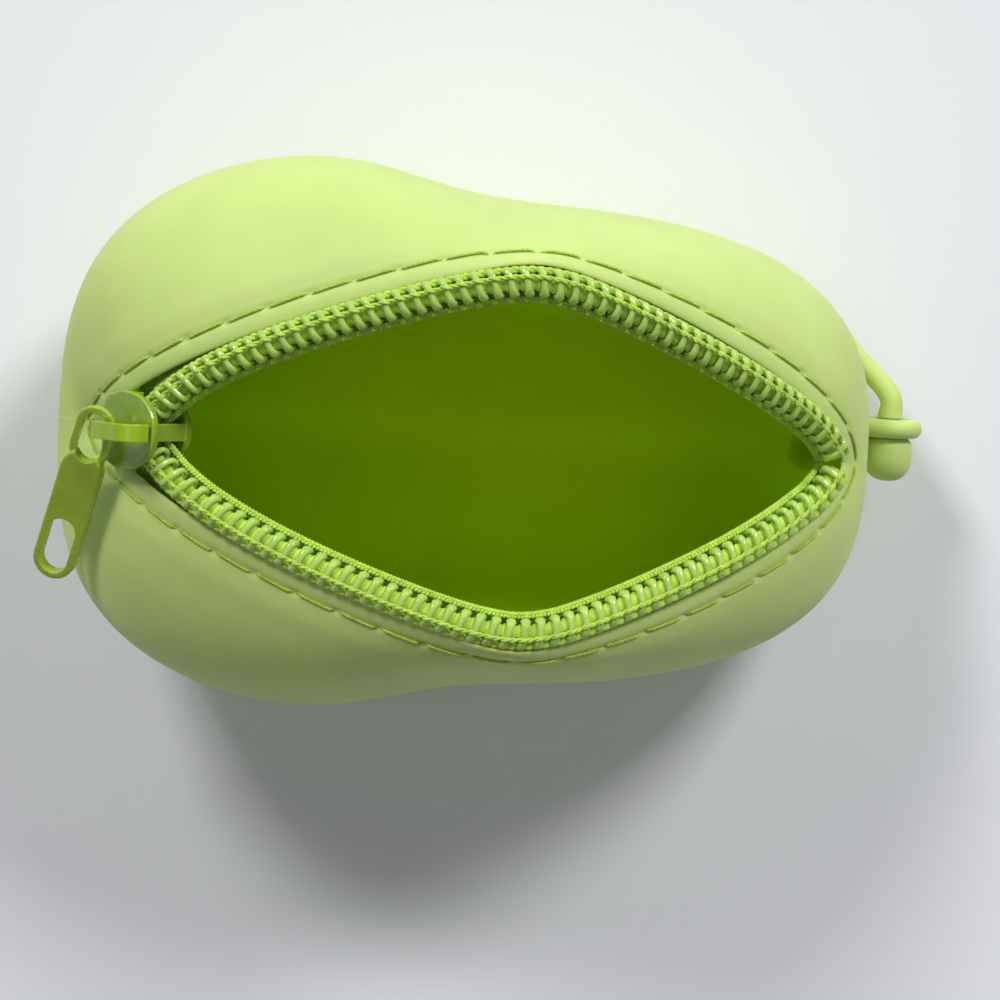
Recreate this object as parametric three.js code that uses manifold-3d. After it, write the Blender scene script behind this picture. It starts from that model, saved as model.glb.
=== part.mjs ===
import * as THREE from "three";
import { mergeVertices } from "three/addons/utils/BufferGeometryUtils.js";
import Module from "manifold-3d";

const wasm = await Module();
wasm.setup();
const { Manifold, Mesh: SolidMesh } = wasm;
const { cos, sin, abs, sign, sqrt, exp, tanh, max, min, PI } = Math;
const DEGREE = PI / 180;
const V3 = (x, y, z) => new THREE.Vector3(x, y, z);

// Sizes of the moulded pouch in millimetres: X runs from the fat lobe to the neck, Z is up
const BODY_LENGTH = 90.6;
const LOBE_WIDTH = 64;
const NECK_WIDTH = 53;
const BODY_SHIFT = -1.6;
const OUTLINE_POWER = 2.85;
const LOBE_TO_NECK_AT = -0.17;
const LOBE_TO_NECK_SPAN = 0.215;
const GIRTH_HEIGHT_LOBE = 21.5;
const GIRTH_HEIGHT_NECK = 14.5;
const BASE_LENGTH = 60;
const BASE_WIDTH = 31;
const BASE_SHIFT = -2.5;
const BASE_POWER = 2.4;
const WALL = 1.6;
const BODY_LEFT = BODY_SHIFT - BODY_LENGTH / 2;
const BODY_RIGHT = BODY_SHIFT + BODY_LENGTH / 2;

// The slot that the zip is sewn round, as it stands open
const SLOT_LEFT = BODY_LEFT + 4.3;
const SLOT_RIGHT = BODY_RIGHT - 2.5;
const SLOT_APEX = BODY_SHIFT + 7;
const SLOT_OPENING = 42.8;
const SLOT_ROUNDING = 0.14;
const SLOT_POWER_LEFT = 0.61;
const SLOT_POWER_RIGHT = 0.555;
const SLOT_HEIGHT_LEFT = 29;
const SLOT_HEIGHT_RIGHT = 21;
const LIP_RISE = 0.84;
const LEFT_DIP = 6;
const LEFT_DIP_SPAN = 4;
const LIP_ARC = 65 * DEGREE;

// The zip: one coil and one tape on each lip
const FIT_GAP = 0.3;
const CURLS = 50;
const WIRE = 0.66;
const COIL_HALF_WIDTH = 1.25;
const COIL_HALF_HEIGHT = 0.9;
const COIL_OPENING = SLOT_OPENING - 5.6;
const COIL_MEETS_AT = 1.8;
const COIL_LEFT = SLOT_LEFT + 4;
const COIL_SPLIT = SLOT_LEFT + 8;
const COIL_RIGHT = SLOT_RIGHT - 2.5;
const COIL_POWER_LEFT = 0.62;
const COIL_POWER_RIGHT = 0.74;
const COIL_LIFT = 0.35;
const CORE_HALF_WIDTH = 0.6;
const CORE_HALF_HEIGHT = 0.2;
const TAPE_THICK = 0.6;
const TAPE_PAST_COIL = 1.2;
const TAPE_UNDER_LIP = 4;
const THREAD = 0.5;
const STITCH_INSET = 1.3;

// The slider, in its own frame: x along the zip towards the open side, z away from the pouch
const SLIDER_X = SLOT_LEFT + 6.3;
const SLIDER_TILT = 44 * DEGREE;
const SLIDER_NOSE = 4.4;
const SLIDER_TAIL = -4.2;
const SLIDER_WIDEST_AT = -1.2;
const SLIDER_WIDTH = 8.6;
const SLIDER_TAIL_TAPER = 0.18;
const PLATE = 0.9;
const CAST_EDGE = 0.22;
const FLOOR_SCALE = 0.8;
const FLOOR_GAP = 0.9;
const FLANGE = 0.6;
const FLANGE_START = -3;
const FLANGE_END = -0.5;
const FLANGE_DROP = 1.7;
const POST_WIDTH = 1.9;
const POST_TIP = 1.2;
const POST_TAPER = 1.7;
const BAIL_WIDTH = 1.9;
const BAIL_THICK = 0.7;
const BAIL_HEIGHT = 2.9;
const HOOK_DROP = 0.7;
const BAIL_NOSE = 3.6;
const BAIL_TAIL = -2.9;

// The pull tab, hung on the bail and lying over the front flank
const TAB_REACH = 18.9;
const TAB_WIDTH = 4.8;
const TAB_THICK = 1.5;
const EYE_THICK = 0.8;
const EYE_WIDTH = 2.9;
const EYE_ABOVE = 1.9;
const EYE_BELOW = 4;
const EYE_BAR = 0.8;
const HOLE_WIDTH = 3.2;
const HOLE_LENGTH = 6.8;
const HOLE_END = 0.75;
const TAB_BEARING = 253.5 * DEGREE;
const TAB_DIP = 21 * DEGREE;
const TAB_ROLL = 9 * DEGREE;

// The lug on the neck, the ball pushed through it and the strap behind
const LUG_X = BODY_RIGHT + 2.9;
const LUG_Y = 3.3;
const LUG_Z = 9;
const LUG_RADIUS = 3.7;
const LUG_THICK = 2.1;
const LUG_ROOT = 4.4;
const BALL_RADIUS = 2.75;
const BALL_HALF_LENGTH = 2.4;
const BALL_NECK_RADIUS = 1.1;
const STRAP_RADIUS = 1.2;
const STRAP_CLEAR = 0.6;
const STRAP_HIGH = 0.42;
const STRAP_LOW = 0.25;
const STRAP_ROOT = 46 * DEGREE;
const DIMPLE_RADIUS = 2;
const DIMPLE_DEPTH = 0.8;
const DIMPLE_AT = 0.235;

const lerp = (a, b, k) => a + (b - a) * k;
const power = (v, p) => sign(v) * abs(v) ** p;

// Plain mesh helpers
function solid(geometry) {
  const bare = new THREE.BufferGeometry();
  bare.setAttribute("position", geometry.getAttribute("position"));
  if (geometry.index) bare.setIndex(geometry.index);
  const merged = mergeVertices(bare, 1e-4);
  const vertProperties = new Float32Array(merged.getAttribute("position").array);
  const triVerts = new Uint32Array(merged.index.array);
  return new Manifold(new SolidMesh({ numProp: 3, vertProperties, triVerts }));
}

function geometryOf(made) {
  const mesh = made.getMesh();
  const count = mesh.numVert;
  const points = new Float32Array(count * 3);
  for (let i = 0; i < count; i++) {
    const at = i * mesh.numProp;
    points.set(mesh.vertProperties.subarray(at, at + 3), i * 3);
  }
  const geometry = new THREE.BufferGeometry();
  geometry.setAttribute("position", new THREE.BufferAttribute(points, 3));
  geometry.setIndex(new THREE.BufferAttribute(new Uint32Array(mesh.triVerts), 1));
  return geometry;
}

function facingOut(points, faces) {
  let volume = 0;
  for (const [a, b, c] of faces) {
    volume += points[a].dot(points[b].clone().cross(points[c]));
  }
  const order = volume < 0 ? faces.map(([a, b, c]) => [a, c, b]) : faces;
  const geometry = new THREE.BufferGeometry().setFromPoints(points);
  geometry.setIndex(order.flat());
  return geometry;
}

// A skin over rings of points, with flat ends, or run round to its start
function loft(rings, closed = false) {
  const n = rings[0].length;
  const points = rings.flat().map((p) => p.clone());
  const faces = [];
  const steps = closed ? rings.length : rings.length - 1;
  for (let i = 0; i < steps; i++) {
    const next = ((i + 1) % rings.length) * n;
    for (let j = 0; j < n; j++) {
      const k = (j + 1) % n;
      faces.push([i * n + j, i * n + k, next + k]);
      faces.push([i * n + j, next + k, next + j]);
    }
  }
  if (closed) return facingOut(points, faces);
  for (const end of [0, rings.length - 1]) {
    const middle = V3(0, 0, 0);
    rings[end].forEach((p) => middle.addScaledVector(p, 1 / n));
    points.push(middle);
    const hub = points.length - 1;
    for (let j = 0; j < n; j++) {
      const a = end * n + j;
      const b = end * n + ((j + 1) % n);
      faces.push(end === 0 ? [hub, b, a] : [hub, a, b]);
    }
  }
  return facingOut(points, faces);
}

function plate(outline, thickness, edge = 0) {
  const shape = new THREE.Shape(outline.map(([x, y]) => new THREE.Vector2(x, y)));
  const rounding = { bevelThickness: edge, bevelSize: edge, bevelOffset: -edge, bevelSegments: 2 };
  const settings = { depth: thickness - 2 * edge, bevelEnabled: edge > 0, ...rounding };
  return new THREE.ExtrudeGeometry(shape, settings).translate(0, 0, edge);
}

function box(x0, x1, y0, y1, z0, z1) {
  const geometry = new THREE.BoxGeometry(x1 - x0, y1 - y0, z1 - z0);
  return geometry.translate((x0 + x1) / 2, (y0 + y1) / 2, (z0 + z1) / 2);
}

// The pouch's outer skin, from the base's edge (v = 0) over the girth (v = 0.5) to the lip (v = 1)
function pear(along) {
  const mean = (LOBE_WIDTH + NECK_WIDTH) / 4;
  const half = (LOBE_WIDTH - NECK_WIDTH) / 4;
  return mean - half * tanh((along - LOBE_TO_NECK_AT) / LOBE_TO_NECK_SPAN);
}

function girth(t) {
  const along = power(cos(t), 2 / OUTLINE_POWER);
  const across = power(sin(t), 2 / OUTLINE_POWER);
  const height = lerp(GIRTH_HEIGHT_LOBE, GIRTH_HEIGHT_NECK, (along + 1) / 2);
  return V3(BODY_SHIFT + (BODY_LENGTH / 2) * along, pear(along) * across, height);
}

function base(t) {
  const along = power(cos(t), 2 / BASE_POWER);
  const across = power(sin(t), 2 / BASE_POWER);
  const half = (BASE_WIDTH / LOBE_WIDTH) * pear(along);
  return V3(BASE_SHIFT + (BASE_LENGTH / 2) * along, half * across, 0);
}

// How far along a lip from its widest place to its end, 0 to 1, with the apex rounded
function alongLip(x, left, right) {
  const reach = x < SLOT_APEX ? SLOT_APEX - left : right - SLOT_APEX;
  const u = min(1, abs(x - SLOT_APEX) / reach);
  const r = SLOT_ROUNDING;
  return (sqrt(u * u + r * r) - r) / (sqrt(1 + r * r) - r);
}

function slotHalf(x) {
  const s = alongLip(x, SLOT_LEFT, SLOT_RIGHT);
  const p = x < SLOT_APEX ? SLOT_POWER_LEFT : SLOT_POWER_RIGHT;
  return (SLOT_OPENING / 2) * max(0, 1 - s) ** p;
}

function slotHeight(x) {
  const chord = lerp(SLOT_HEIGHT_LEFT, SLOT_HEIGHT_RIGHT, (x - SLOT_LEFT) / (SLOT_RIGHT - SLOT_LEFT));
  return chord + LIP_RISE * slotHalf(x) - LEFT_DIP * exp(-(x - SLOT_LEFT) / LEFT_DIP_SPAN);
}

function mouth(t) {
  const x = lerp(SLOT_LEFT, SLOT_RIGHT, (cos(t) + 1) / 2);
  return V3(x, sign(sin(t)) * slotHalf(x), slotHeight(x));
}

function skin(t, v) {
  const wide = girth(t);
  if (v <= 0.5) {
    const foot = base(t);
    const a = v * PI;
    const out = sin(a);
    return V3(lerp(foot.x, wide.x, out), lerp(foot.y, wide.y, out), wide.z * (1 - cos(a)));
  }
  const lip = mouth(t);
  const a = (2 * v - 1) * LIP_ARC;
  const inward = (1 - cos(a)) / (1 - cos(LIP_ARC));
  const up = sin(a) / sin(LIP_ARC);
  return V3(lerp(wide.x, lip.x, inward), lerp(wide.y, lip.y, inward), lerp(wide.z, lip.z, up));
}

function upSkin(t, v) {
  const step = 1e-3;
  return skin(t, min(1, v + step)).sub(skin(t, max(0, v - step))).normalize();
}

function skinNormal(t, v) {
  const step = 2e-3;
  const round = skin(t + step, v).sub(skin(t - step, v));
  return round.cross(upSkin(t, v)).normalize();
}

function offSkin(t, v, away) {
  return skin(t, v).addScaledVector(skinNormal(t, v), away);
}

// The place on the skin that is a given distance below the lip
function belowLip(t, distance) {
  const lip = skin(t, 1);
  let low = 0.5;
  let high = 1;
  for (let i = 0; i < 24; i++) {
    const middle = (low + high) / 2;
    if (skin(t, middle).distanceTo(lip) > distance) low = middle;
    else high = middle;
  }
  return high;
}

const AROUND = 72;
const angles = Array.from({ length: AROUND }, (_, i) => ((i + 0.5) / AROUND) * 2 * PI);
const LEVELS = [0, 0.08, 0.16, 0.24, 0.32, 0.4, 0.5, 0.58, 0.66, 0.74, 0.82, 0.88, 0.94, 1];

function shellRings() {
  const outer = LEVELS.map((v) => angles.map((t) => skin(t, v)));
  const inner = LEVELS.map((v) => angles.map((t) => offSkin(t, v, -WALL)));
  const edge = [45, 90, 135].map((turn) =>
    angles.map((t) => {
      const along = upSkin(t, 1).multiplyScalar((WALL / 2) * sin(turn * DEGREE));
      return offSkin(t, 1, (WALL / 2) * (cos(turn * DEGREE) - 1)).add(along);
    }),
  );
  return { outer, inner, edge };
}

function bodyShell() {
  const { outer, inner, edge } = shellRings();
  const shell = solid(loft([...outer, ...edge, ...inner.toReversed()]));
  const hollow = solid(loft(inner));
  const half = LUG_THICK / 2;
  const rim = Array.from({ length: 7 }, (_, i) => {
    const a = -PI / 2 + (i / 6) * PI;
    return new THREE.Vector2(LUG_RADIUS - half + half * cos(a), half * sin(a));
  });
  const disc = new THREE.LatheGeometry([new THREE.Vector2(0, -half), ...rim, new THREE.Vector2(0, half)], 28);
  const root = box(
    LUG_X - LUG_RADIUS - 3, LUG_X,
    LUG_Y - half, LUG_Y + half,
    LUG_Z - LUG_ROOT / 2, LUG_Z + LUG_ROOT / 2,
  );
  const lug = solid(disc.translate(LUG_X, LUG_Y, LUG_Z)).add(solid(root)).subtract(hollow);
  const boreRadius = BALL_NECK_RADIUS + FIT_GAP;
  const bore = new THREE.CylinderGeometry(boreRadius, boreRadius, LUG_THICK + 1, 20);
  const normal = skinNormal(0, DIMPLE_AT);
  const dimple = new THREE.CylinderGeometry(DIMPLE_RADIUS, DIMPLE_RADIUS, 4, 24);
  dimple.translate(0, -2 + DIMPLE_DEPTH - WALL, 0);
  dimple.applyQuaternion(new THREE.Quaternion().setFromUnitVectors(V3(0, 1, 0), normal));
  dimple.translate(...skin(0, DIMPLE_AT).toArray());
  return geometryOf(
    shell
      .add(lug)
      .subtract(solid(bore.translate(LUG_X, LUG_Y, LUG_Z)))
      .subtract(solid(dimple)),
  );
}

// A tube of any oval section along frames of {at, across, up}
function tube(frames, halfWidth, halfHeight, sides, closed = false) {
  const rings = frames.map(({ at, across, up }) =>
    Array.from({ length: sides }, (_, i) => {
      const a = (i / sides) * 2 * PI;
      return at.clone().addScaledVector(across, halfWidth * cos(a)).addScaledVector(up, halfHeight * sin(a));
    }),
  );
  return loft(rings, closed);
}

function framesAlong(curve, count, acrossHint) {
  return Array.from({ length: count + 1 }, (_, i) => {
    const k = i / count;
    const ahead = curve.getTangentAt(k);
    const across = acrossHint(k, ahead);
    across.addScaledVector(ahead, -across.dot(ahead)).normalize();
    return { at: curve.getPointAt(k), ahead, across, up: ahead.clone().cross(across).normalize() };
  });
}

function seamThread() {
  const level = (t) => belowLip(t, STITCH_INSET);
  const place = (t) => offSkin(t, level(t), FIT_GAP + THREAD / 2);
  const frames = angles.map((t) => {
    const ahead = place(t + 5e-3).sub(place(t - 5e-3)).normalize();
    const up = skinNormal(t, level(t));
    const across = up.clone().cross(ahead).normalize();
    return { at: place(t), across, up: ahead.clone().cross(across) };
  });
  return tube(frames, THREAD / 2, THREAD / 2, 6, true);
}

// The zip's line on one lip; side is 1 for the back lip and -1 for the front one
const SLIDER_Z = slotHeight(SLIDER_X) - COIL_LIFT;
const sliderAhead = V3(cos(SLIDER_TILT), 0, sin(SLIDER_TILT));
const sliderUp = V3(-sin(SLIDER_TILT), 0, cos(SLIDER_TILT));
const SLIDER_FLAT_TO = SLIDER_X + (2 / 3) * SLIDER_NOSE * cos(SLIDER_TILT);

function coilHalf(x) {
  if (x <= COIL_SPLIT) return COIL_MEETS_AT;
  const s = alongLip(x, COIL_SPLIT, COIL_RIGHT);
  const p = x < SLOT_APEX ? COIL_POWER_LEFT : COIL_POWER_RIGHT;
  return COIL_MEETS_AT + (COIL_OPENING / 2 - COIL_MEETS_AT) * max(0, 1 - s) ** p;
}

function coilHeight(x) {
  if (x <= SLIDER_FLAT_TO) return SLIDER_Z + (x - SLIDER_X) * Math.tan(SLIDER_TILT);
  return slotHeight(x) + COIL_LIFT;
}

function coilCurve(side) {
  const places = [COIL_LEFT, COIL_SPLIT - 2.6, COIL_SPLIT - 1.3, COIL_SPLIT + 2, COIL_SPLIT + 4.1, COIL_SPLIT + 7.1];
  for (let x = COIL_SPLIT + 11.6; x < COIL_RIGHT - 5; x += 4) places.push(x);
  places.push(COIL_RIGHT - 3.6, COIL_RIGHT - 1.6, COIL_RIGHT);
  return new THREE.CatmullRomCurve3(places.map((x) => V3(x, side * coilHalf(x), coilHeight(x))));
}

function coilFrames(side, count) {
  const curve = coilCurve(side);
  const inward = (k, ahead) => V3(side * ahead.y, -side * ahead.x, 0);
  return framesAlong(curve, count, inward).map((f) => {
    if (f.up.z < 0) f.up.negate();
    return f;
  });
}

// One wire wound in flat curls round the core, with straight ends
function zipCoil(side) {
  const perCurl = 8;
  const frames = coilFrames(side, CURLS * perCurl);
  const last = frames.length - 1;
  const line = frames.map(({ at, across, up }, i) => {
    const a = (i / perCurl) * 2 * PI;
    return at
      .clone()
      .addScaledVector(across, -COIL_HALF_WIDTH * cos(a))
      .addScaledVector(up, COIL_HALF_HEIGHT * sin(a));
  });
  line.unshift(line[0].clone().addScaledVector(frames[0].ahead, -0.9));
  line.push(line[last + 1].clone().addScaledVector(frames[last].ahead, 0.9));
  const wireFrames = line.map((at, i) => {
    const before = line[max(0, i - 1)];
    const after = line[min(line.length - 1, i + 1)];
    const ahead = after.clone().sub(before).normalize();
    const hub = frames[min(last, max(0, i - 1))];
    const across = hub.ahead.clone().addScaledVector(ahead, -hub.ahead.dot(ahead));
    if (i === 0 || i === line.length - 1) across.copy(hub.up);
    across.normalize();
    return { at, across, up: ahead.clone().cross(across) };
  });
  const ends = [0, wireFrames.length - 1];
  for (const end of ends) {
    const near = wireFrames[end === 0 ? 1 : end - 1];
    wireFrames[end].across = near.across.clone();
    wireFrames[end].up = near.up.clone();
  }
  leastGap(side, line, perCurl);
  return tube(wireFrames, WIRE / 2, WIRE / 2, 5);
}

function leastGap(side, line, perCurl) {
  let least = Infinity;
  for (let i = 0; i < line.length; i++) {
    for (let j = i + perCurl / 2 + 1; j < min(line.length, i + 3 * perCurl); j++) {
      least = min(least, line[i].distanceTo(line[j]) - WIRE);
    }
  }
  console.log(`${side > 0 ? "back" : "front"} coil, least gap between its own curls ${least.toFixed(2)} mm`);
}

function coilCore(side) {
  return tube(coilFrames(side, 42), CORE_HALF_WIDTH, CORE_HALF_HEIGHT, 6);
}

// The woven tape: under the lip at its outer side, under the coil at its inner edge
function zipTape(side) {
  const under = COIL_HALF_HEIGHT + WIRE / 2 + FIT_GAP + TAPE_THICK / 2;
  const behind = -(WALL + 1.5 * FIT_GAP + TAPE_THICK / 2);
  const half = TAPE_THICK / 2;
  const rings = coilFrames(side, 56).map(({ at, across, up }) => {
    const along = (at.x - (SLOT_LEFT + SLOT_RIGHT) / 2) / ((SLOT_RIGHT - SLOT_LEFT) / 2);
    const t = side * Math.acos(max(-1, min(1, along)));
    const v = belowLip(t, TAPE_UNDER_LIP);
    const middle = [
      [offSkin(t, v, behind), skinNormal(t, v)],
      [offSkin(t, 1, behind), skinNormal(t, 1).add(up).normalize()],
      [at.clone().addScaledVector(across, TAPE_PAST_COIL).addScaledVector(up, -under), up],
    ];
    const top = middle.map(([p, n]) => p.clone().addScaledVector(n, half));
    const bottom = middle.map(([p, n]) => p.clone().addScaledVector(n, -half));
    return [...top, ...bottom.toReversed()];
  });
  return loft(rings);
}

// The slider's casting: two plates joined by a wedge, with a flange down each side of the top one
const coilTop = COIL_HALF_HEIGHT + WIRE / 2;
const plateUnder = coilTop + FIT_GAP;
const plateTop = plateUnder + PLATE;
const floorTop = -(coilTop + FIT_GAP + TAPE_THICK + FLOOR_GAP);
const bailMiddle = plateTop + BAIL_HEIGHT;
const toSlider = new THREE.Matrix4()
  .makeBasis(sliderAhead, V3(0, 1, 0), sliderUp)
  .setPosition(SLIDER_X, 0, SLIDER_Z);

function sliderOutline(scale) {
  return Array.from({ length: 36 }, (_, i) => {
    const t = (i / 36) * 2 * PI;
    const round = 2 / (cos(t) > 0 ? 2.3 : 5);
    const along = power(cos(t), round);
    const end = along > 0 ? SLIDER_NOSE : SLIDER_TAIL;
    const x = lerp(SLIDER_WIDEST_AT, end, abs(along));
    const half = (SLIDER_WIDTH / 2) * (1 - SLIDER_TAIL_TAPER * max(0, -along));
    return [scale * x, scale * half * power(sin(t), round)];
  });
}

function sliderBody() {
  const top = solid(plate(sliderOutline(1), PLATE, CAST_EDGE).translate(0, 0, plateUnder));
  const floor = plate(sliderOutline(FLOOR_SCALE), PLATE, CAST_EDGE).translate(0, 0, floorTop - PLATE);
  const nose = FLOOR_SCALE * SLIDER_NOSE - 0.2;
  const wide = POST_WIDTH / 2;
  const full = POST_TIP + POST_TAPER;
  const wedge = [[POST_TIP, 0], [full, -wide], [nose, -wide], [nose, wide], [full, wide]];
  const post = solid(plate(wedge, plateUnder - floorTop + 0.6).translate(0, 0, floorTop - 0.3));
  let made = top.add(solid(floor)).add(post);
  const outside = SLIDER_WIDTH / 2 - CAST_EDGE;
  for (const side of [1, -1]) {
    const edges = [side * outside, side * (outside - FLANGE)];
    const flange = box(
      FLANGE_START, FLANGE_END,
      min(...edges), max(...edges),
      plateUnder - FLANGE_DROP, plateUnder + 0.3,
    );
    made = made.add(solid(flange));
  }
  return geometryOf(made).applyMatrix4(toSlider);
}

// The bail: a flat strip arched over the top plate, crimped at both feet; the tab hangs on its tail corner
const tabHook = V3(BAIL_TAIL + 0.3, 0, bailMiddle - HOOK_DROP).applyMatrix4(toSlider);

function sliderBail() {
  const foot = plateTop + FIT_GAP;
  const line = new THREE.CatmullRomCurve3(
    [
      [BAIL_NOSE + 0.1, foot],
      [BAIL_NOSE, lerp(foot, bailMiddle, 0.5)],
      [BAIL_NOSE - 0.9, bailMiddle - 0.12],
      [0.4, bailMiddle],
      [BAIL_TAIL + 1.1, bailMiddle - 0.04],
      [BAIL_TAIL + 0.3, bailMiddle - 0.3],
      [BAIL_TAIL, lerp(foot, bailMiddle, 0.45)],
      [BAIL_TAIL + 0.1, foot],
    ].map(([x, z]) => V3(x, 0, z)),
  );
  const frames = framesAlong(line, 26, () => V3(0, 1, 0));
  const rings = frames.map(({ at, across, up }) =>
    [[1, 1], [-1, 1], [-1, -1], [1, -1]].map(([a, b]) =>
      at
        .clone()
        .addScaledVector(across, (a * BAIL_WIDTH) / 2)
        .addScaledVector(up, (b * BAIL_THICK) / 2),
    ),
  );
  return loft(rings).applyMatrix4(toSlider);
}

// The pull tab, in its own frame: x down its length from the eye, y across it, z out of its face
function oval(x0, x1, halfWidth, steps = 10) {
  const points = [];
  const r = min(halfWidth, (x1 - x0) / 2);
  for (let i = 0; i <= steps; i++) {
    const a = PI / 2 + (i / steps) * PI;
    points.push([x0 + r + r * cos(a), halfWidth * sin(a)]);
  }
  for (let i = 0; i <= steps; i++) {
    const a = -PI / 2 + (i / steps) * PI;
    points.push([x1 - r + r * cos(a), halfWidth * sin(a)]);
  }
  return points;
}

function pullTab() {
  const eyeHalf = EYE_WIDTH / 2 + EYE_BAR;
  const slab = (outline, thick, edge) => solid(plate(outline, thick, edge).translate(0, 0, -thick / 2));
  const body = slab(oval(EYE_BELOW - 1.2, TAB_REACH, TAB_WIDTH / 2), TAB_THICK, CAST_EDGE);
  const head = slab(oval(-EYE_ABOVE - EYE_BAR, EYE_BELOW + EYE_BAR, eyeHalf), EYE_THICK, CAST_EDGE);
  const eye = slab(oval(-EYE_ABOVE, EYE_BELOW, EYE_WIDTH / 2), TAB_THICK + 2);
  const holeEnd = TAB_REACH - HOLE_END;
  const hole = oval(holeEnd - HOLE_LENGTH, holeEnd, HOLE_WIDTH / 2);
  const made = body.add(head).subtract(eye).subtract(slab(hole, TAB_THICK + 2));
  const level = V3(cos(TAB_BEARING), sin(TAB_BEARING), 0);
  const down = level.multiplyScalar(cos(TAB_DIP)).add(V3(0, 0, -sin(TAB_DIP)));
  const face = V3(0, 0, 1).addScaledVector(down, -down.z).normalize();
  face.applyAxisAngle(down, TAB_ROLL);
  const place = new THREE.Matrix4().makeBasis(down, face.clone().cross(down), face).setPosition(tabHook);
  return geometryOf(made).applyMatrix4(place);
}

// The ball that holds the strap in the lug, turned about the lug's bore
function strapBall() {
  const lugFace = LUG_Y - LUG_THICK / 2 - FIT_GAP;
  const neckEnd = LUG_Y + LUG_THICK / 2 + FIT_GAP;
  const profile = [];
  for (let i = 0; i <= 10; i++) {
    const a = -PI / 2 + (i / 10) * (PI - Math.asin(BALL_NECK_RADIUS / BALL_RADIUS));
    profile.push(new THREE.Vector2(BALL_RADIUS * cos(a), lugFace - BALL_HALF_LENGTH * (1 - sin(a))));
  }
  profile[0].x = 0;
  profile.push(new THREE.Vector2(BALL_NECK_RADIUS, neckEnd), new THREE.Vector2(0, neckEnd));
  const turned = new THREE.LatheGeometry(profile, 20).translate(LUG_X, 0, LUG_Z);
  return geometryOf(solid(turned));
}

function strapCurve() {
  const start = LUG_Y + LUG_THICK / 2 + 2 * FIT_GAP;
  const away = STRAP_RADIUS + STRAP_CLEAR;
  const onSkin = (k, extra) => offSkin(STRAP_ROOT * k, lerp(STRAP_HIGH, STRAP_LOW, k), extra);
  return new THREE.CatmullRomCurve3([
    V3(LUG_X, start, LUG_Z),
    V3(LUG_X - 0.1, start + 2.2, LUG_Z + 0.1),
    onSkin(0.36, away + 0.3),
    onSkin(0.55, away),
    onSkin(0.72, away),
    onSkin(0.86, away + 0.6),
    onSkin(0.97, away + 0.4),
    onSkin(1, 2 * FIT_GAP),
  ]);
}

function hangingStrap() {
  const frames = framesAlong(strapCurve(), 30, () => V3(0, 0, 1));
  return tube(frames, STRAP_RADIUS, STRAP_RADIUS, 8);
}

const SILICONE = 0xcde487;
const TAPE_GREEN = 0x8fae3e;
const NYLON = 0xbcd28a;
const CORD_GREEN = 0xa9c95a;
const PAINT = 0xa3bd45;

const part = new THREE.Group();
function piece(name, geometry, color, roughness, metalness = 0) {
  const mesh = new THREE.Mesh(geometry, new THREE.MeshStandardMaterial({ color, roughness, metalness }));
  mesh.name = name;
  part.add(mesh);
}

piece("body_shell", bodyShell(), SILICONE, 0.55);
piece("seam_thread", seamThread(), CORD_GREEN, 0.7);
piece("back_zip_tape", zipTape(1), TAPE_GREEN, 0.85);
piece("front_zip_tape", zipTape(-1), TAPE_GREEN, 0.85);
piece("back_zip_coil", zipCoil(1), NYLON, 0.3);
piece("front_zip_coil", zipCoil(-1), NYLON, 0.3);
piece("back_coil_core", coilCore(1), CORD_GREEN, 0.8);
piece("front_coil_core", coilCore(-1), CORD_GREEN, 0.8);
piece("slider_body", sliderBody(), PAINT, 0.25, 0.3);
piece("slider_bail", sliderBail(), PAINT, 0.25, 0.3);
piece("pull_tab", pullTab(), PAINT, 0.25, 0.3);
piece("strap_ball", strapBall(), SILICONE, 0.55);
piece("hanging_strap", hangingStrap(), SILICONE, 0.55);

export default part;
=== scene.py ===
"""A silicone makeup bag with its zip open: the finished looks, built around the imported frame."""

import math

import bpy
import numpy as np
from mathutils import Matrix, Vector


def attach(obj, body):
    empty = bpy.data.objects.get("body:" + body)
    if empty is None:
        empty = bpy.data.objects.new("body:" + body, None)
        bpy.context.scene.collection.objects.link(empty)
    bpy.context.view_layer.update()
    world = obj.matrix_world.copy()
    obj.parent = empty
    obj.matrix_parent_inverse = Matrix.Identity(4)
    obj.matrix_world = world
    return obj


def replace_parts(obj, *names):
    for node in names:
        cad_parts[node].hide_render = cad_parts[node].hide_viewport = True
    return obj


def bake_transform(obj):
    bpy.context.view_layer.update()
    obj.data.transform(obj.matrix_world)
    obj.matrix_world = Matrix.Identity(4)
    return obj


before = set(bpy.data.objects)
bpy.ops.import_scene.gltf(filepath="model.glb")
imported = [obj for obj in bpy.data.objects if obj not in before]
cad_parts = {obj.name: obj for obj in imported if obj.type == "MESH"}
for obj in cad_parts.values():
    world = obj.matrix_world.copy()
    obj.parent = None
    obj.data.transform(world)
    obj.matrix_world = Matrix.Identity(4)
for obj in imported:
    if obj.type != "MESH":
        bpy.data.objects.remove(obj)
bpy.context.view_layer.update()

MM = 0.001
TURN = 2 * math.pi
BACK, FRONT = 1, -1

# The pouch, in millimetres, with the same driving dimensions as the solids
BODY_LENGTH = 90.6
LOBE_WIDTH = 64
NECK_WIDTH = 53
BODY_SHIFT = -1.6
OUTLINE_POWER = 2.85
LOBE_TO_NECK_AT = -0.17
LOBE_TO_NECK_SPAN = 0.215
GIRTH_HEIGHT_LOBE = 21.5
GIRTH_HEIGHT_NECK = 14.5
BASE_LENGTH = 60
BASE_WIDTH = 31
BASE_SHIFT = -2.5
BASE_POWER = 2.4
WALL = 1.6
GIRTH_V = 0.5
BODY_LEFT = BODY_SHIFT - BODY_LENGTH / 2
BODY_RIGHT = BODY_SHIFT + BODY_LENGTH / 2

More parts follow.
